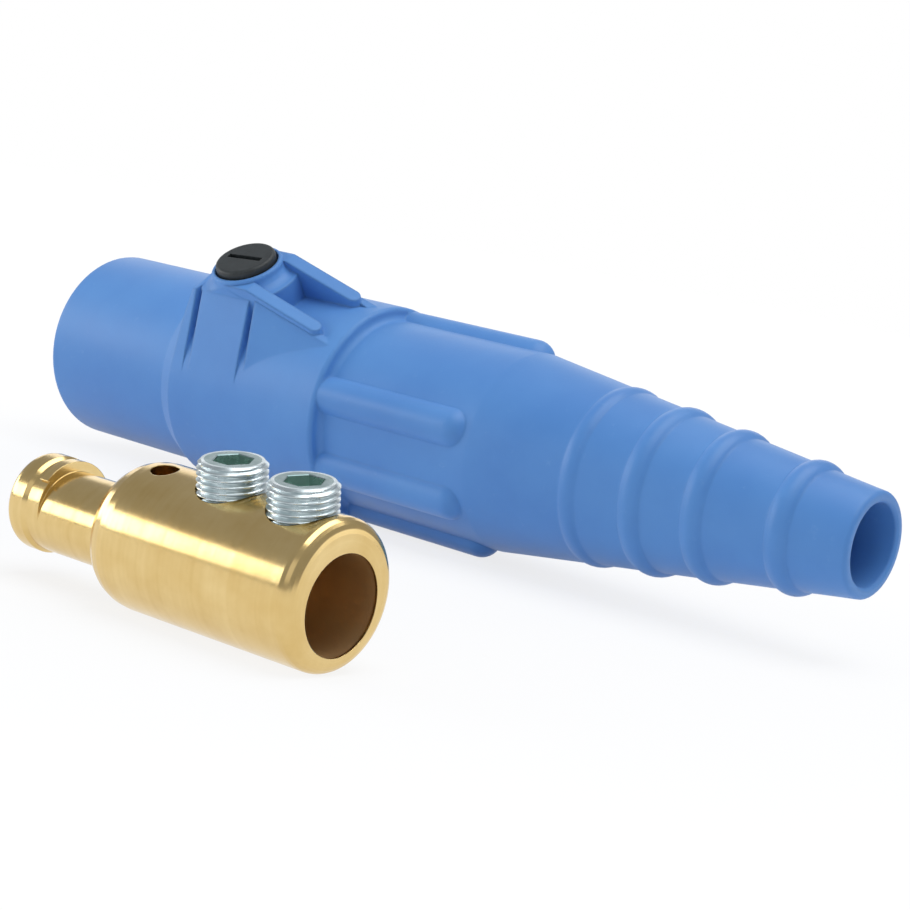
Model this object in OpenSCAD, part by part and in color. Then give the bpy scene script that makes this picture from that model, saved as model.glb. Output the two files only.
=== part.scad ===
// Male single-pole cam-lock connector of the double set-screw type, taken
// apart: the insulating sleeve with its retaining screw, and beside it the
// brass contact with its two cable set screws. Millimetres, +Z up.
// The sleeve's axis is the X axis, X = 0 is the rim of its mating end, and
// +X runs towards the cable. Angles about an axis count from straight up
// towards -Y.

/* [Sleeve] */
// Radius of the front cylinder at the mating end
front_r = 20; // [19:0.1:23]
// Radius of the collar behind the front cylinder
collar_r = 22.2; // [21.4:0.1:25]
// Station where the flare from the front cylinder to the collar starts
flare_x = 35.5; // [30:0.5:37]
// Length of the flare
flare_l = 4.5; // [3:0.5:7]
// Station of the shoulder at the collar's rear
shoulder_x = 81; // [78:0.5:90]
// Fillet at the foot of the shoulder
shoulder_fillet = 1.4; // [0.6:0.1:1.6]
// Radius of the body just behind the shoulder
body_r = 19.6; // [18.6:0.1:20.4]
// Station where the body starts to taper
taper_x = 118; // [112:1:126]
// Radius at the cable end
tail_r = 9.7; // [9.3:0.1:12]
// Overall length of the sleeve
sleeve_l = 194.5; // [185:0.5:205]
// Rounding of the sleeve's outer rims
rim_round = 0.9; // [0.4:0.1:1.2]

/* [Ribs and trim rings] */
// Places round the body, one of which is left to the boss
rib_places = 8; // [8:1:8]
// Radius of the rounded back of a rib
rib_back_r = 4; // [3.4:0.1:4.4]
// Radius from the axis to a rib's crest
rib_crest_r = 21.9; // [21.4:0.1:22.1]
// Station where the ribs end
rib_end_x = 116.8; // [110:0.2:124]
// Places of the trimming beads along the taper, as shares of its length
ring_at = [0.285, 0.452, 0.614, 0.826];
// How far each bead stands out of the taper
ring_h = [0.45, 0.8, 0.8, 0.85];
// Radius of a bead's section
ring_r = 3; // [2:0.1:4]
// Sector of the first bead that is left plain, start and end angle
ring_gap = [18, 132];

/* [Screw boss] */
// Angle of the boss about the sleeve's axis
boss_angle = 35; // [0:1:60]
// Station of the retaining screw
boss_x = 51.8; // [50:0.1:54]
// Radius of the round boss
boss_r = 7.5; // [7.2:0.1:8.2]
// Height of the boss's top above the sleeve's axis
boss_top = 30.4; // [29:0.1:32]
// Rounding of the boss's top edge
boss_round = 0.6; // [0.3:0.1:0.8]
// Spread of the boss's foot along the strap
boss_foot = 2.9; // [2:0.1:3.2]
// Width of the strap that carries the boss
saddle_w = 13.6; // [12:0.1:15]
// Width of the groove on either side of the strap
groove_w = 1.7; // [1.2:0.1:2.4]
// Slope of the wings behind the strap, in degrees
rear_slope = 20; // [19:0.5:24]
// Height of the wings where they leave the strap's groove
wing_h = 27.5; // [26.8:0.1:27.8]
// Station where the fin in front of the strap starts
fin_x = 40; // [38.5:0.5:41.5]
// Slope of that fin, in degrees
front_slope = 70; // [66:1:74]
// Height of the saddle's flat above the axis
saddle_h = 27.2; // [26.4:0.1:27.6]
// Half the breadth of the saddle's flat
saddle_half = 7.6; // [6.8:0.1:8.2]
// Rear end of the two gussets behind the boss
gusset_x = 75.5; // [70:0.5:78]
// Thickness of a gusset
gusset_t = 3; // [2.4:0.1:3.6]
// Distance of a gusset's middle from the boss's middle plane
gusset_y = 6; // [5.4:0.1:6.2]
// Height of a gusset where it leaves the boss
gusset_h = 29.6; // [28.6:0.1:30]

/* [Sleeve interior] */
// Radius of the mating socket
socket_r = 15.2; // [14:0.1:16.5]
// Depth of the mating socket
socket_depth = 36; // [30:0.5:38]
// Running clearance of the contact's barrel in its seat
seat_gap = 0.15; // [0.1:0.05:0.4]
// Radius of the lip behind the seated contact
lip_r = 9.4; // [8.6:0.1:10.4]
// Thickness of that lip
lip_t = 3; // [2:0.5:5]
// Radius of the cable space just behind the lip
cable_space_r = 12.4; // [11:0.1:13.5]
// Radius of the cable entry
entry_r = 7.6; // [7:0.1:8.2]
// Length of the straight cable entry
entry_l = 7; // [6:0.5:12]

/* [Retaining screw] */
// Radius of the screw's head
head_r = 6.3; // [5.6:0.1:6.6]
// Thickness of the head
head_t = 3.4; // [3:0.1:4.2]
// How far the head stands out of the boss
head_proud = 1.5; // [0.8:0.1:2]
// Gap round the head in its recess
head_gap = 0.4; // [0.2:0.1:0.5]
// Radius of the screw's shank
retainer_r = 2.9; // [2.5:0.1:3]
// Clearance of the shank in the sleeve
retainer_gap = 0.08; // [0.05:0.01:0.1]
// Length of the driver slot
slot_l = 8.6; // [7:0.1:9.6]
// Turn of the slot from the sleeve's axis
slot_turn = 6; // [-90:1:90]
// Width of the driver slot
slot_w = 1.3; // [1:0.1:1.8]
// Depth of the driver slot
slot_d = 1.4; // [1:0.1:1.8]
// Length of the screw's reduced tip
retainer_tip = 3; // [2:0.5:4]
// Clearance of that tip in the contact's hole
tip_gap = 0.1; // [0.05:0.05:0.3]

/* [Contact] */
// Radius of the contact's barrel
barrel_r = 11.1; // [10.4:0.05:11.5]
// Length of the barrel with its rounded front shoulder
barrel_l = 40.5; // [39.5:0.5:43]
// Length of the rounded front shoulder
shoulder_l = 5; // [3:0.25:6]
// Rounding of the edge of the barrel's rear face
barrel_round = 2.1; // [1:0.1:2.2]
// Radius of the mating pin's ring
pin_r = 7.45; // [7.2:0.05:8]
// Length of the mating pin
pin_l = 20.5; // [19:0.5:24]
// Rounding of the pin's nose
nose_l = 1.4; // [0.8:0.1:1.8]
// Length of the ring at the pin's tip
land_l = 4.2; // [3.6:0.1:5]
// Radius of the neck behind the ring
neck_r = 7; // [6.6:0.05:7.1]
// Distance from the pin's tip to the rear of the cam lobe on the ring
lobe_l = 6.8; // [6.2:0.1:10]
// Half angle of the cam lobe
lobe_half = 56; // [35:1:60]
// Depth of the cam relief behind the lobe
cam_d = 1.2; // [0.8:0.1:1.6]
// Turn of the relief towards the locking side
cam_turn = 10; // [0:1:20]
// Radius of the cable bore
cable_r = 7.4; // [6.8:0.05:7.6]
// Distance of the cable bore's axis from the barrel's, away from the screws
cable_off = 1.1; // [0.6:0.1:1.4]
// Depth of the cable bore without its drill point
cable_depth = 30; // [28:0.5:30]
// Length of the drill point
drill_l = 3; // [2.5:0.1:3.4]
// Place of the barrel's rear face on the surface, along X
contact_x = 179.1; // [175:0.1:190]
// Place of the contact's axis on the surface, across the sleeve
contact_y = -117.3; // [-125:0.1:-60]
// Turn of the contact on the surface
contact_turn = 1.6; // [0:0.1:5]
// Radius of the hole for the retaining screw
hole_r = 2.1; // [1.9:0.05:2.6]
// Distance from the front set screw to that hole
hole_step = 12.3; // [11:0.1:13]
// Angle of that hole about the contact's axis
hole_angle = 18; // [12:1:30]
// Angle of the screws about the contact's axis
screw_angle = 12; // [0:1:30]

/* [Set screws] */
// Radius over the thread
screw_r = 5.1; // [4.8:0.05:5.5]
// Length of a set screw
screw_l = 8.1; // [8:0.1:9]
// How far a screw stands out of the barrel
screw_proud = 3.9; // [3:0.1:4.2]
// Distance from the barrel's rear face to the rear screw
screw_rear = 7.7; // [7.5:0.1:9]
// Distance between the two screws
screw_pitch = 13.5; // [12:0.1:13.8]
// Radial clearance of a screw in its hole
screw_gap = 0.05; // [0.03:0.01:0.1]
// Width across the flats of the hexagon socket
hex_w = 5.2; // [4.4:0.1:5.6]
// Depth of the hexagon socket
hex_d = 4; // [3:0.1:4.5]
// Chamfer at both ends of a screw
screw_chamfer = 0.6; // [0.3:0.1:0.8]

/* [Hidden] */
$fn = 96;
round_steps = 5;
floor_z = -collar_r;                        // the surface that both lie on
fillet = min(shoulder_fillet, collar_r - rim_round - body_r - 0.1);
seat_r = barrel_r + seat_gap;
pin_tip = -barrel_l - pin_l;                // station of the contact's tip in its own frame
seat_end = boss_x + retain_back();          // where the barrel's rear face seats
head_seat = boss_top + head_proud - head_t; // height of the head's underside
retainer_bottom = seat_r + 0.9;             // the screw's end, clear of the seat
tip_r = hole_r - tip_gap;
taper_k = (body_r - tail_r) / (sleeve_l - taper_x);
ring_x = [for (share = ring_at) taper_x + share * (sleeve_l - taper_x)];
rib_axis_r = rib_crest_r - rib_back_r;
rib_reach = sqrt(pow(rib_back_r, 2) - pow(body_r - rib_axis_r, 2));
saddle_tangent = atan2(saddle_half, saddle_h) + acos(collar_r / norm([saddle_half, saddle_h]));

// distance of the retaining hole from the barrel's rear face
function retain_back() = screw_rear + screw_pitch + hole_step;
// radius of the tapering body at a station
function taper_r(x) = body_r - taper_k * (x - taper_x);
// quarter-round corner points about [x, r], from one angle to another
function corner(x, r, rad, from, to) =
    [for (i = [0:round_steps]) let (a = from + (to - from) * i / round_steps)
        [r + rad * sin(a), x + rad * cos(a)]];

// a solid turned about the X axis from [radius, station] points
module turned(points) {
    rotate([0, 90, 0]) rotate_extrude() polygon(points);
}

// a cylinder or cone along X
module rod(x0, x1, r0, r1) {
    translate([x0, 0, 0]) rotate([0, 90, 0]) cylinder(h = x1 - x0, r1 = r0, r2 = r1);
}

module sleeve_outside() {
    turned(concat(
        [[0, 0]],
        corner(rim_round, front_r - rim_round, rim_round, 180, 90),
        [[front_r, flare_x], [collar_r, flare_x + flare_l]],
        corner(shoulder_x - rim_round, collar_r - rim_round, rim_round, 90, 0),
        corner(shoulder_x + fillet, body_r + fillet, fillet, 180, 270),
        [[body_r, taper_x]],
        corner(sleeve_l - rim_round, tail_r - rim_round, rim_round, 90, 0),
        [[0, sleeve_l]]));
}

// one bead of the taper, whole or open over the plain sector
module trim_ring(i, from = 0, to = 360) {
    r = taper_r(ring_x[i]) + ring_h[i] - ring_r;
    rotate([0, 90, 0]) rotate([0, 0, 180 - from]) rotate_extrude(angle = -(to - from))
        translate([r, ring_x[i]]) circle(r = ring_r);
}

// a rounded rib from the shoulder to its ball-shaped end
module rib() {
    translate([0, 0, rib_axis_r]) {
        rod(shoulder_x - 4, rib_end_x - rib_reach, rib_back_r, rib_back_r);
        translate([rib_end_x - rib_reach, 0, 0]) sphere(r = rib_back_r);
    }
}

// section of the saddle, its sides tangent to the collar, extruded along X
module saddle_bar(length) {
    t = saddle_tangent;
    rotate([90, 0, 90]) linear_extrude(length)
        polygon([[0, 0], [collar_r * sin(t), collar_r * cos(t)], [saddle_half, saddle_h],
                 [-saddle_half, saddle_h], [-collar_r * sin(t), collar_r * cos(t)]]);
}

// strap under the boss, with two wings behind it that sink into the collar
// and a fin in front of it that is coned down to the collar
module saddle() {
    edge = saddle_w / 2 + groove_w;
    reach = shoulder_x - 1 - boss_x - edge;
    fin = boss_x - edge - fin_x;
    translate([boss_x - saddle_w / 2, 0, 0]) saddle_bar(saddle_w);
    difference() {
        intersection() {
            translate([boss_x + edge, 0, wing_h]) rotate([0, rear_slope, 0])
                translate([-saddle_h * tan(rear_slope), 0, -saddle_h])
                    saddle_bar(reach / cos(rear_slope) + 2 * saddle_h * tan(rear_slope));
            translate([boss_x + edge, -collar_r, 0]) cube([reach, 2 * collar_r, wing_h + 1]);
        }
        // the room between the gussets
        translate([boss_x, -gusset_y, 0]) cube([edge + reach + 1, 2 * gusset_y, wing_h + 2]);
    }
    intersection() {
        translate([fin_x, 0, 0]) saddle_bar(fin);
        rod(fin_x, fin_x + fin, collar_r - 0.2, collar_r - 0.2 + fin * tan(front_slope));
    }
}

// round boss with a rounded top edge, on a foot that spreads along the strap
module boss_body() {
    rim = boss_top - boss_round;
    foot_r = boss_r + boss_foot;
    translate([boss_x, 0, 0]) {
        rotate_extrude() polygon(concat([[0, collar_r - 6], [boss_r, collar_r - 6]],
            [for (i = [0:round_steps]) let (a = 90 * i / round_steps)
                [boss_r - boss_round * (1 - cos(a)), rim + boss_round * sin(a)]],
            [[0, boss_top]]));
        intersection() {
            rotate_extrude() polygon(concat([[0, collar_r - 6], [foot_r, collar_r - 6]],
                [for (i = [0:round_steps]) let (a = 90 * i / round_steps)
                    [foot_r - (boss_foot + 0.1) * sin(a), saddle_h - 0.1 + (rim - saddle_h) * (1 - cos(a))]],
                [[0, rim - 0.1]]));
            translate([-foot_r - 1, -saddle_half, 0]) cube([2 * foot_r + 2, 2 * saddle_half, boss_top]);
        }
    }
}

// two gussets with rounded ends behind the boss
module gussets() {
    intersection() {
        translate([0, gusset_y + gusset_t, 0]) rotate([90, 0, 0]) linear_extrude(2 * (gusset_y + gusset_t))
            polygon([[boss_x, 16], [boss_x, gusset_h], [boss_x + boss_r - 1, gusset_h],
                     [gusset_x, collar_r + 0.9], [gusset_x, 16]]);
        for (side = [-1, 1]) translate([0, side * gusset_y, 0]) {
            translate([boss_x, -gusset_t / 2, 0]) cube([gusset_x - boss_x - gusset_t / 2, gusset_t, boss_top]);
            translate([gusset_x - gusset_t / 2, 0, 0]) cylinder(h = boss_top, r = gusset_t / 2);
        }
    }
}

module sleeve_inside() {
    // mating socket, barrel seat, lip and the cable space that narrows to its entry
    turned([[0, -1], [socket_r, -1], [socket_r, socket_depth],
            [seat_r, socket_depth + 2.5], [seat_r, seat_end], [lip_r, seat_end],
            [lip_r, seat_end + lip_t], [cable_space_r, seat_end + lip_t + 3],
            [entry_r, sleeve_l - entry_l], [entry_r, sleeve_l - rim_round / 2],
            [entry_r + rim_round / 2, sleeve_l], [entry_r + rim_round / 2, sleeve_l + 1], [0, sleeve_l + 1]]);
}

module retainer_hole() {
    translate([boss_x, 0, 0]) {
        cylinder(h = boss_top + 2, r = retainer_r + retainer_gap);
        translate([0, 0, head_seat]) cylinder(h = head_t + 4, r = head_r + head_gap);
    }
}

module sleeve() color("#6ea6d8") difference() {
    union() {
        sleeve_outside();
        for (k = [1:rib_places - 1]) rotate([boss_angle + k * 360 / rib_places, 0, 0]) rib();
        trim_ring(0, ring_gap[1], ring_gap[0] + 360);
        for (i = [1:len(ring_x) - 1]) trim_ring(i);
        rotate([boss_angle, 0, 0]) {
            saddle();
            boss_body();
            gussets();
        }
    }
    sleeve_inside();
    rotate([boss_angle, 0, 0]) retainer_hole();
}

// slotted screw that holds the contact in the sleeve
module retaining_screw() color("#3b3f42")
    rotate([boss_angle, 0, 0]) translate([boss_x, 0, 0]) difference() {
        rotate_extrude() polygon(concat(
            [[0, retainer_bottom], [tip_r - 0.4, retainer_bottom], [tip_r, retainer_bottom + 0.4],
             [tip_r, retainer_bottom + retainer_tip], [retainer_r, retainer_bottom + retainer_tip + 0.6],
             [retainer_r, head_seat], [head_r, head_seat]],
            [for (i = [0:round_steps]) let (a = 90 * i / round_steps)
                [head_r - 0.8 + 0.8 * cos(a), head_seat + head_t - 0.8 + 0.8 * sin(a)]],
            [[0, head_seat + head_t]]));
        rotate([0, 0, slot_turn]) translate([-slot_l / 2, -slot_w / 2, head_seat + head_t - slot_d])
            cube([slot_l, slot_w, slot_d + 1]);
    }

// the contact's own frame: its axis on X, the barrel's rear face at X = 0
module contact_place() {
    translate([contact_x, contact_y, floor_z + barrel_r]) rotate([0, 0, contact_turn]) children();
}

module contact_turning() {
    turned(concat(
        [[0, pin_tip]], corner(pin_tip + nose_l, pin_r - nose_l, nose_l, 180, 90),
        [[pin_r, pin_tip + land_l - 0.6], [neck_r, pin_tip + land_l], [neck_r, -barrel_l]],
        [for (i = [0:round_steps]) let (a = 90 * i / round_steps)
            [pin_r + 0.6 + (barrel_r - pin_r - 0.6) * sin(a), -barrel_l + shoulder_l * (1 - cos(a))]],
        corner(-barrel_round, barrel_r - barrel_round, barrel_round, 90, 0),
        [[0, 0]]));
}

// the cam lobe behind the ring, set off from it by a narrow groove
module cam_lobe() {
    h = pin_r * cos(lobe_half);
    intersection() {
        rod(pin_tip + land_l + 0.9, pin_tip + lobe_l, pin_r - 0.1, pin_r - 0.1);
        translate([pin_tip, -pin_r, h]) cube([lobe_l, 2 * pin_r, pin_r - h]);
    }
}

module contact() color("#d3b069") contact_place() difference() {
    union() {
        contact_turning();
        cam_lobe();
    }
    // cam relief, an eccentric turning between the lobe and the barrel
    translate([-barrel_l, 0, 0]) rotate([cam_turn, 0, 0]) difference() {
        rod(-(pin_l - lobe_l), -0.3, neck_r + 3, neck_r + 3);
        translate([0, 0, -cam_d]) rod(-pin_l, 1, neck_r, neck_r);
    }
    // cable bore, screw holes and the hole for the retaining screw
    rotate([screw_angle, 0, 0]) {
        translate([0, 0, -cable_off]) {
            rod(-cable_depth, 1, cable_r, cable_r);
            rod(-cable_depth - drill_l, -cable_depth, 0, cable_r);
        }
        for (back = [screw_rear, screw_rear + screw_pitch])
            translate([-back, 0, 0]) cylinder(h = barrel_r + 5, r = screw_r + screw_gap);
    }
    rotate([hole_angle, 0, 0]) translate([-retain_back(), 0, barrel_r - 7])
        cylinder(h = 12, r = hole_r);
}

// socket set screw, its top screw_proud above the barrel
module set_screw(back) {
    contact_place() rotate([screw_angle, 0, 0])
        translate([-back, 0, barrel_r + screw_proud - screw_l]) difference() {
            rotate_extrude() polygon([[0, 0], [screw_r - screw_chamfer, 0], [screw_r, screw_chamfer],
                [screw_r, screw_l - screw_chamfer], [screw_r - screw_chamfer, screw_l], [0, screw_l]]);
            translate([0, 0, screw_l - hex_d]) cylinder(h = hex_d + 1, d = hex_w / cos(30), $fn = 6);
        }
}

module set_screw_front() color("#b9c8cd") set_screw(screw_rear + screw_pitch);
module set_screw_rear() color("#b9c8cd") set_screw(screw_rear);

sleeve();
retaining_screw();
contact();
set_screw_front();
set_screw_rear();
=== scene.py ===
import math

import bmesh
import bpy
from mathutils import Matrix, Vector


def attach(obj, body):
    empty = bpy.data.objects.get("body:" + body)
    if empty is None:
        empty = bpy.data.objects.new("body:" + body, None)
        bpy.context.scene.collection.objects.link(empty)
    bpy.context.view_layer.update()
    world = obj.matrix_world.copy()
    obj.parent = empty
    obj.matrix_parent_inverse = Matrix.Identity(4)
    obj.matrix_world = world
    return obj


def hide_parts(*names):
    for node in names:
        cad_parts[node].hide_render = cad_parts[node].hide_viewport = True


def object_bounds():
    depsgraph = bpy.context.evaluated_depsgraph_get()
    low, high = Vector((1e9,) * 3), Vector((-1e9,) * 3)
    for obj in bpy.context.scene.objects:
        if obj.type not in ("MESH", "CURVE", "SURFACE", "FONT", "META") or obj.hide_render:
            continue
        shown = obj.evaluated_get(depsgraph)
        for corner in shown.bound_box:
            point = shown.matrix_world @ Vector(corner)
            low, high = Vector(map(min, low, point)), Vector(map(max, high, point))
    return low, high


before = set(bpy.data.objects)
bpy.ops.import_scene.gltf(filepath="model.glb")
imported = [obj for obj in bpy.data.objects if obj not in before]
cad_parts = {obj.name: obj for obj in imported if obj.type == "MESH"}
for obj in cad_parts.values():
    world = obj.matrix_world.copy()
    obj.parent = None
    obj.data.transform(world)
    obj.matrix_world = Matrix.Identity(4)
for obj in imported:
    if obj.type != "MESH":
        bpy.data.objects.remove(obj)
cadLow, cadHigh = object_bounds()
print("frame loaded:", ", ".join(sorted(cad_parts)))


# shader maths: Wire holds one output socket, so that node sums read as plain arithmetic
class Wire:
    def __init__(self, tree, socket):
        self.tree = tree
        self.socket = socket

    def maths(self, operation, first, second):
        node = self.tree.nodes.new("ShaderNodeMath")
        node.operation = operation
        for place, value in zip(node.inputs, (first, second)):
            feed(self.tree, place, value)
        return Wire(self.tree, node.outputs[0])

    def __add__(self, other): return self.maths("ADD", self, other)
    def __radd__(self, other): return self.maths("ADD", other, self)
    def __mul__(self, other): return self.maths("MULTIPLY", self, other)
    def __rmul__(self, other): return self.maths("MULTIPLY", other, self)


def feed(tree, place, value):
    if isinstance(value, Wire):
        tree.links.new(value.socket, place)
    elif isinstance(value, (tuple, list)) and len(value) == 3 and place.type == "RGBA":
        place.default_value = (*value, 1)
    else:
        place.default_value = value


class Finish:
    def __init__(self, name, tree=None):
        if tree is None:
            self.material = bpy.data.materials.new(name)
            self.material.use_nodes = True
            tree = self.material.node_tree
        self.tree = tree
        self.tree.nodes.clear()

    # settings come first, then sockets by name or by number; out picks the output
    def add(self, kind, settings=None, sockets=None, out=0):
        node = self.tree.nodes.new("ShaderNode" + kind)
        for name, value in (settings or {}).items():
            setattr(node, name, value)
        for name, value in (sockets or {}).items():
            feed(self.tree, node.inputs[name], value)
        return Wire(self.tree, node.outputs[out]) if len(node.outputs) else None

    def noise(self, where, scale, detail, rough, dimensions="3D"):
        place = "W" if dimensions == "1D" else "Vector"
        return self.add("TexNoise", {"noise_dimensions": dimensions},
                        {place: where, "Scale": scale, "Detail": detail, "Roughness": rough})

    def mix(self, factor, first, second):
        return self.add("Mix", {"data_type": "RGBA"}, {"Factor": factor, 6: first, 7: second}, out=2)

    def spread(self, value, low, high, toLow=0.0, toHigh=1.0):
        return self.add("MapRange", {}, {"Value": value, "From Min": low, "From Max": high,
                                         "To Min": toLow, "To Max": toHigh})

    # the same between two lengths in mm
    def spreadMm(self, value, edges):
        return self.spread(value, edges[0] / 1000, edges[1] / 1000)

    def place(self):
        return self.add("TexCoord", {}, out=3)

    def dot(self, vector, direction):
        return self.add("VectorMath", {"operation": "DOT_PRODUCT"}, {0: vector, 1: direction}, out=1)

    def root(self, value):
        return self.add("Math", {"operation": "SQRT"}, {0: value})

    # rounds the edges in the shading alone
    def softEdge(self, widthMm):
        return self.add("Bevel", {"samples": 6}, {"Radius": widthMm / 1000})

    def bump(self, height, strength, deepMm, normal):
        return self.add("Bump", {}, {"Strength": strength, "Distance": deepMm / 1000,
                                     "Height": height, "Normal": normal})

    def end(self, surface):
        self.add("OutputMaterial", {}, {"Surface": surface})
        return self.material


def dress(piece, material):
    piece.data.materials.clear()
    piece.data.materials.append(material)


# sleeve

sleeveLook = {
    "blue": (0.080, 0.248, 0.615),
    "paleBlue": (0.100, 0.290, 0.665),
    "dust": (0.22, 0.42, 0.74),
    "dustShow": 0.22,
    "rough": (0.36, 0.52),
    "specular": 0.40,
    "sheen": 0.08,
    "cloudScale": 38,
    "dustScale": 420,
    "rippleScale": 70,
    "rippleDeepMm": 0.6,
    "grainMm": 0.35,
    "grainDeepMm": 0.06,
    "softEdgeMm": 0.8,
}


def sleeveMoulding(look):
    f = Finish("sleeve_moulding")
    where = f.place()
    cloud = f.noise(where, look["cloudScale"], 4, 0.55)
    grain = f.noise(where, 1000 / look["grainMm"], 2, 0.6)
    dust = f.noise(where, look["dustScale"], 5, 0.7)
    colour = f.mix(f.spread(cloud, 0.35, 0.68), look["blue"], look["paleBlue"])
    colour = f.mix(f.spread(dust, 0.62, 0.8, 0, look["dustShow"]), colour, look["dust"])
    rough = f.spread(cloud + 0.35 * grain, 0.45, 0.9, *look["rough"])
    ripple = f.noise(where, look["rippleScale"], 2, 0.4)
    wavy = f.bump(ripple, 0.25, look["rippleDeepMm"], f.softEdge(look["softEdgeMm"]))
    return f.end(f.add("BsdfPrincipled", {}, {
        "Base Color": colour, "Roughness": rough, "Normal": f.bump(grain, 0.35, look["grainDeepMm"], wavy),
        "Specular IOR Level": look["specular"], "Sheen Weight": look["sheen"], "Sheen Roughness": 0.5}))


dress(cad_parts["sleeve"], sleeveMoulding(sleeveLook))
print("sleeve dressed")


# retaining screw

retainerLook = {
    "black": (0.015, 0.020, 0.022),
    "grey": (0.030, 0.038, 0.041),
    "rough": (0.42, 0.60),
    "speckScale": 900,
    "speckDeepMm": 0.08,
    "softEdgeMm": 0.25,
}


def retainerNylon(look):
    f = Finish("retainer_nylon")
    where = f.place()
    speck = f.noise(where, look["speckScale"], 4, 0.7)
    colour = f.mix(f.spread(speck, 0.45, 0.7), look["black"], look["grey"])
    bump = f.bump(speck, 0.3, look["speckDeepMm"], f.softEdge(look["softEdgeMm"]))
    return f.end(f.add("BsdfPrincipled", {}, {
        "Base Color": colour, "Roughness": f.spread(speck, 0.3, 0.7, *look["rough"]), "Normal": bump,
        "Specular IOR Level": 0.5}))


dress(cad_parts["retaining_screw"], retainerNylon(retainerLook))
print("retaining screw dressed")


# contact

contactLook = {
    "turnDeg": 1.6,                              # turn of the contact on the surface
    "rear": (0.1791, -0.1173, -0.0111),          # middle of the barrel's rear face
    "bright": (0.81, 0.61, 0.285),
    "deep": (0.70, 0.49, 0.19),
    "stain": (0.42, 0.29, 0.13),
    # paler brass for the bore: painted light inside the recess
    "bore": (0.86, 0.62, 0.34),
    "boreDropMm": 1.1,                           # the bore's axis below the barrel's
    "boreEdgeMm": (8.5, 8.3),                    # where the bore's skin starts, outwards to inwards
    "boreMouthMm": (-0.2, -0.6),
    "boreEndMm": (-36.2, -35.8),                 # between the drill point and the pin
    "boreRough": 0.3,
    "stainScale": 210,
    "stainShow": 0.45,
    "stainRough": 0.25,
    "rough": (0.15, 0.20),
    "cloudScale": 90,
    "cloudDeepMm": 0.1,
    "broadScale": 700,
    "ringMm": 0.12,
    "ringDeepMm": 0.02,
    "softEdgeMm": 0.2,
}
turn = math.radians(contactLook["turnDeg"])
contactAxis = Vector((math.cos(turn), math.sin(turn), 0))
contactRear = Vector(contactLook["rear"])


def turnedBrass(look):
    f = Finish("turned_brass")
    where = f.place()
    fromRear = f.add("VectorMath", {"operation": "SUBTRACT"}, {0: where, 1: tuple(contactRear)})
    along = f.dot(fromRear, tuple(contactAxis))
    lift = f.dot(fromRear, (0, 0, 1))
    side = f.dot(fromRear, (-contactAxis.y, contactAxis.x, 0))
    # the tool's marks run round the barrel and in circles on its ends
    ringPlace = along + f.root(lift * lift + side * side)
    rings = f.noise(ringPlace, 1000 / look["ringMm"], 2, 0.6, "1D")
    broad = f.noise(ringPlace, look["broadScale"], 3, 0.6, "1D")
    cloud = f.noise(where, look["cloudScale"], 4, 0.6)
    colour = f.mix(f.spread(cloud + 0.3 * broad, 0.45, 0.85), look["bright"], look["deep"])
    stain = f.spread(f.noise(where, look["stainScale"], 6, 0.75), 0.66, 0.86, 0, look["stainShow"])
    colour = f.mix(stain, colour, look["stain"])
    # the drilled bore has a duller skin, and its paler colour is painted light inside the bore
    fromBore = lift + look["boreDropMm"] / 1000
    boreRadius = f.root(fromBore * fromBore + side * side)
    inBore = (f.spreadMm(boreRadius, look["boreEdgeMm"]) * f.spreadMm(along, look["boreMouthMm"])
              * f.spreadMm(along, look["boreEndMm"]))
    colour = f.mix(inBore, colour, look["bore"])
    rough = f.spread(broad, 0.3, 0.7, *look["rough"])
    rough = rough + stain * look["stainRough"] + inBore * look["boreRough"]
    bump = f.bump(rings, 0.22, look["ringDeepMm"], f.softEdge(look["softEdgeMm"]))
    bump = f.bump(cloud, 0.12, look["cloudDeepMm"], bump)
    return f.end(f.add("BsdfPrincipled", {}, {
        "Base Color": colour, "Metallic": 1.0, "Roughness": rough, "Normal": bump}))


dress(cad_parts["contact"], turnedBrass(contactLook))
print("contact dressed")


# set screws

screwLook = {
    "screwDeg": 12,               # lean of the screws about the contact's axis
    "fromRearMm": (21.2, 7.7),    # front screw, rear screw
    "radiusMm": 5.1,
    "rootMm": 4.62,
    "pitchMm": 0.907,
    "lengthMm": 8.1,
    "proudMm": 3.9,
    "hexMm": 5.2,
    "hexDeepMm": 4.0,
    "hexEdgeMm": 0.12,
    "chamferMm": 0.6,
    "footInsetMm": 0.8,           # flat of the lower end, inside its chamfer
    "topInsetMm": 0.45,
    "drillMm": 1.1,               # drill point under the socket
    "drillShare": 0.9,            # its breadth against the hexagon's
    "around": 144,                # points round the screw
    "perTurn": 10,                # rows in a turn of the thread
    "zinc": (0.70, 0.77, 0.79),
    "dull": (0.50, 0.58, 0.60),
    # darker zinc for the flat tops: painted shade on the top faces
    "topZincPaintedShade": (0.25, 0.34, 0.35),
    "topDullPaintedShade": (0.19, 0.28, 0.28),
    "socketZinc": (0.66, 0.80, 0.76),
    "socketDull": (0.52, 0.68, 0.63),
    "rough": (0.22, 0.36),
    "cloudScale": 380,
    "fineScale": 3200,
}


def zincPlate(name, look, light, dark):
    f = Finish(name)
    where = f.place()
    cloud = f.noise(where, look["cloudScale"], 4, 0.6)
    fine = f.noise(where, look["fineScale"], 3, 0.6)
    colour = f.mix(f.spread(cloud, 0.35, 0.7), look[light], look[dark])
    bump = f.add("Bump", {}, {"Strength": 0.25, "Distance": 0.00003, "Height": fine + 0.5 * cloud})
    return f.end(f.add("BsdfPrincipled", {}, {
        "Base Color": colour, "Metallic": 1.0, "Roughness": f.spread(cloud, 0.3, 0.7, *look["rough"]),
        "Normal": bump}))


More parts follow.
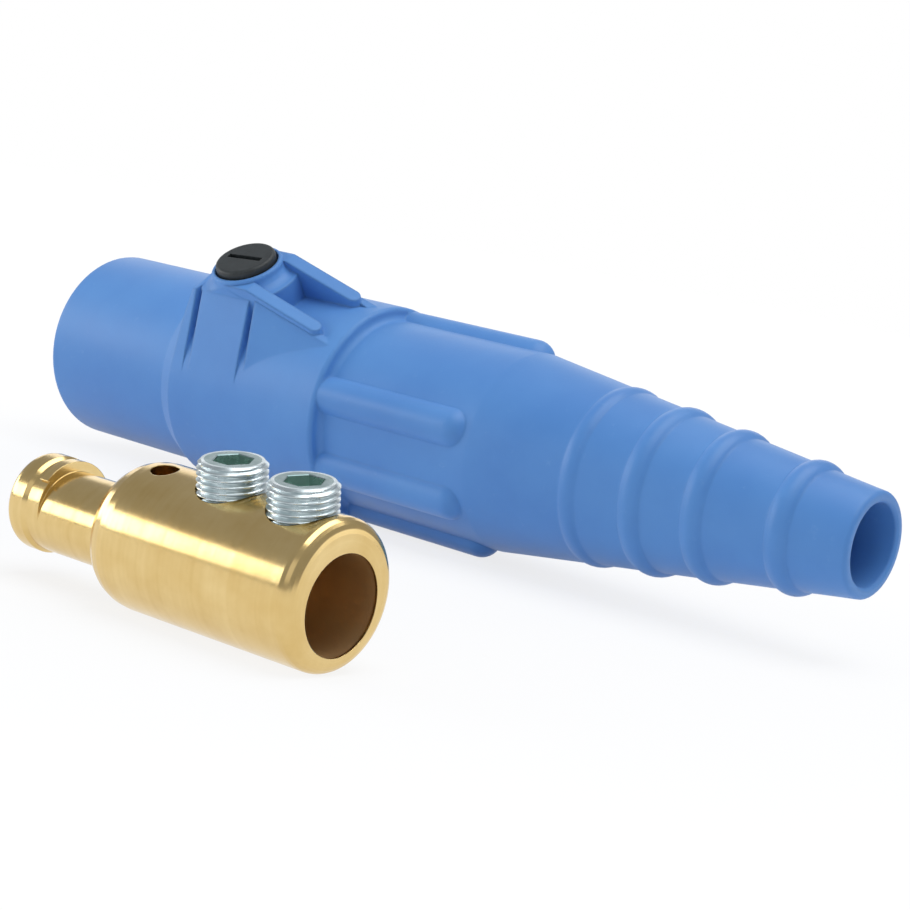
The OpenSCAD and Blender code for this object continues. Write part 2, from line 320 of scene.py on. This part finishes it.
# radius of the helical thread at a height and an angle, in mm
def threadRadius(look, height, angle):
    turnPart = (height / look["pitchMm"] - angle / (2 * math.pi)) % 1
    flank = min(1, max(0, (abs(turnPart - 0.5) * 2 - 0.12) / 0.72))
    deep = look["radiusMm"] - (look["radiusMm"] - look["rootMm"]) * (1 - flank)
    fromEnd = min(height, look["lengthMm"] - height)
    return min(deep, look["radiusMm"] - max(0, look["chamferMm"] - fromEnd))


def hexRadius(look, angle, grow=0.0):
    part = (angle + math.pi / 6) % (math.pi / 3) - math.pi / 6
    return (look["hexMm"] / 2 + grow) / math.cos(math.pi / 6 - abs(part))


def setScrew(name, look, fromRear, node, body, plates):
    steps = int(look["lengthMm"] / look["pitchMm"] * look["perTurn"])
    topMm, hexFloor = look["lengthMm"], look["lengthMm"] - look["hexDeepMm"]
    endMm = look["radiusMm"] - look["chamferMm"]
    rows = [lambda a: (0.0, 0.0), lambda a: (endMm - look["footInsetMm"], 0.0)]
    for step in range(steps + 1):
        height = topMm * step / steps
        rows.append(lambda a, h=height: (threadRadius(look, h, a), h))
    rows += [lambda a: (endMm - look["topInsetMm"], topMm),
             lambda a: (hexRadius(look, a, look["hexEdgeMm"]), topMm),
             lambda a: (hexRadius(look, a), topMm - look["hexEdgeMm"]),
             lambda a: (hexRadius(look, a), hexFloor + 0.1),
             lambda a: (hexRadius(look, a) * look["drillShare"], hexFloor),
             lambda a: (0.0, hexFloor - look["drillMm"])]
    topRing = len(rows) - 6         # first row of the flat top and its edge
    socketFrom = len(rows) - 4      # first row inside the socket
    points, faces, around = [], [], look["around"]
    for row in rows:
        for k in range(around):
            angle = 2 * math.pi * k / around
            radius, height = row(angle)
            points.append((radius * math.cos(angle), radius * math.sin(angle), height))
    for level in range(len(rows) - 1):
        for k in range(around):
            a, b = level * around + k, level * around + (k + 1) % around
            faces.append((a, b, b + around, a + around))
    mesh = bpy.data.meshes.new(name)
    mesh.from_pydata(points, [], faces)
    for k, polygon in enumerate(mesh.polygons):
        polygon.use_smooth = True
        # faces of the flat top and the socket's edge take the second plate, which is painted shade; faces
        # in the socket take the third
        polygon.material_index = 2 if k // around >= socketFrom else int(k // around >= topRing)
    # the points that meet in the middle of each end become one
    welded = bmesh.new()
    welded.from_mesh(mesh)
    bmesh.ops.remove_doubles(welded, verts=welded.verts, dist=0.001)
    welded.to_mesh(mesh)
    welded.free()
    lean = math.radians(look["screwDeg"])
    barrelRadius = contactRear.z - cadLow.z
    rise = barrelRadius + (look["proudMm"] - look["lengthMm"]) / 1000
    place = (Matrix.Translation(contactRear) @ Matrix.Rotation(turn, 4, "Z")
             @ Matrix.Translation((-fromRear / 1000, 0, 0)) @ Matrix.Rotation(lean, 4, "X")
             @ Matrix.Translation((0, 0, rise)) @ Matrix.Scale(0.001, 4))
    mesh.transform(place)
    piece = bpy.data.objects.new(name, mesh)
    bpy.context.collection.objects.link(piece)
    mesh.set_sharp_from_angle(angle=math.radians(38))
    for plate in plates:
        piece.data.materials.append(plate)
    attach(piece, body)
    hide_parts(node)


# the second plate paints shade on the screws' flat tops
plates = [zincPlate("zinc_plate", screwLook, "zinc", "dull"),
          zincPlate("top_plate_painted_shade", screwLook, "topZincPaintedShade", "topDullPaintedShade"),
          zincPlate("socket_plate", screwLook, "socketZinc", "socketDull")]
for name, fromRear, node, body in (
        ("frontSetScrew", screwLook["fromRearMm"][0], "set_screw_front", "front_screw"),
        ("rearSetScrew", screwLook["fromRearMm"][1], "set_screw_rear", "rear_screw")):
    setScrew(name, screwLook, fromRear, node, body, plates)
print("set screws threaded")


# floor, light and camera

stageLook = {
    "floorSize": 6.0,
    "white": (0.80, 0.82, 0.86),
    "shadowShow": 0.22,       # how much of the floor's own shading the camera sees
    "mirrorGlow": 0.80,       # share of plain white that the metal mirrors from the floor
    "fadeFrom": 0.06,         # metres from the object where the floor starts to turn plain white
    "fadeTo": 0.22,
    "plainWhite": 1.02,
    "around": (0.37, 0.38, 0.40),
}


def floorCard(look, middle):
    f = Finish("floor_card")
    where = f.place()
    away = f.add("VectorMath", {"operation": "DISTANCE"}, {0: where, 1: tuple(middle)}, out=1)
    fade = f.spread(away, look["fadeFrom"], look["fadeTo"])
    seen = f.add("LightPath", out="Is Camera Ray")
    mirrored = f.add("LightPath", out="Is Glossy Ray")
    paper = f.add("BsdfDiffuse", {}, {"Color": look["white"]})
    plain = f.add("Emission", {}, {"Color": (1, 1, 1), "Strength": look["plainWhite"]})
    hidden = (1 - look["shadowShow"]) + fade * look["shadowShow"]
    share = seen * hidden + mirrored * look["mirrorGlow"]
    return f.end(f.add("MixShader", {}, {0: share, 1: paper, 2: plain}))


middle = Vector(((cadLow.x + cadHigh.x) / 2, (cadLow.y + cadHigh.y) / 2, cadLow.z))
floorMesh = bpy.data.meshes.new("floorCard")
half = stageLook["floorSize"] / 2
floorMesh.from_pydata([(middle.x + sx * half, middle.y + sy * half, cadLow.z)
                       for sx, sy in ((-1, -1), (1, -1), (1, 1), (-1, 1))], [], [(0, 1, 2, 3)])
floor = bpy.data.objects.new("floorCard", floorMesh)
bpy.context.collection.objects.link(floor)
dress(floor, floorCard(stageLook, middle))


def skyRoom(look):
    world = bpy.data.worlds.new("studioRoom")
    bpy.context.scene.world = world
    world.use_nodes = True
    f = Finish("studioRoom", world.node_tree)
    seen = f.add("LightPath", out="Is Camera Ray")
    room = f.add("Background", {}, {"Color": look["around"], "Strength": 1.0})
    white = f.add("Background", {}, {"Color": (1, 1, 1), "Strength": 1.0})
    f.add("OutputWorld", {}, {"Surface": f.add("MixShader", {}, {0: seen, 1: room, 2: white})})


skyRoom(stageLook)

lampLook = {
    # name: place from the middle of the object, aim, width, height, watts (metres)
    "overhead": ((0.16, 0.03, 0.75), (0.05, 0, 0), 0.85, 0.55, 4.0),
    "sidePanel": ((-0.75, -0.42, 0.20), (-0.05, 0, 0), 0.9, 0.30, 2.7),
    "backFill": ((0.60, 0.50, 0.16), (0, 0, 0), 0.5, 0.3, 0.42),
    "rimPanel": ((-0.55, 0.60, 0.33), (0, 0, 0), 0.9, 0.35, 0.9),
    "frontFill": ((0.35, -0.85, 0.40), (0.05, 0.02, 0), 0.7, 0.5, 0.45),
}
for name, (place, aim, wide, tall, watts) in lampLook.items():
    lamp = bpy.data.lights.new(name, "AREA")
    lamp.shape = "RECTANGLE"
    lamp.size, lamp.size_y, lamp.energy = wide, tall, watts
    holder = bpy.data.objects.new(name, lamp)
    holder.location = middle + Vector(place)
    holder.rotation_euler = (middle + Vector(aim) - holder.location).to_track_quat("-Z", "Y").to_euler()
    bpy.context.collection.objects.link(holder)

cameraLook = {
    "stand": (0.37445, -0.34428, 0.04284),
    "rightWay": (0.7571, 0.6275, 0.1820),
    "downWay": (0.2081, 0.0325, -0.9776),
    "lensMm": 88.56,          # on a 36 mm wide square picture
}
camera = bpy.data.cameras.new("camera")
camera.lens, camera.sensor_width = cameraLook["lensMm"], 36
camera.clip_start, camera.clip_end = 0.02, 30
cameraHolder = bpy.data.objects.new("camera", camera)
right = Vector(cameraLook["rightWay"]).normalized()
up = -Vector(cameraLook["downWay"])
up = (up - right * up.dot(right)).normalized()
back = right.cross(up)
turned = Matrix((right, up, back)).transposed().to_4x4()
cameraHolder.matrix_world = Matrix.Translation(cameraLook["stand"]) @ turned
bpy.context.collection.objects.link(cameraHolder)
bpy.context.scene.camera = cameraHolder
bpy.context.scene.view_settings.view_transform = "Standard"
print("stage ready")
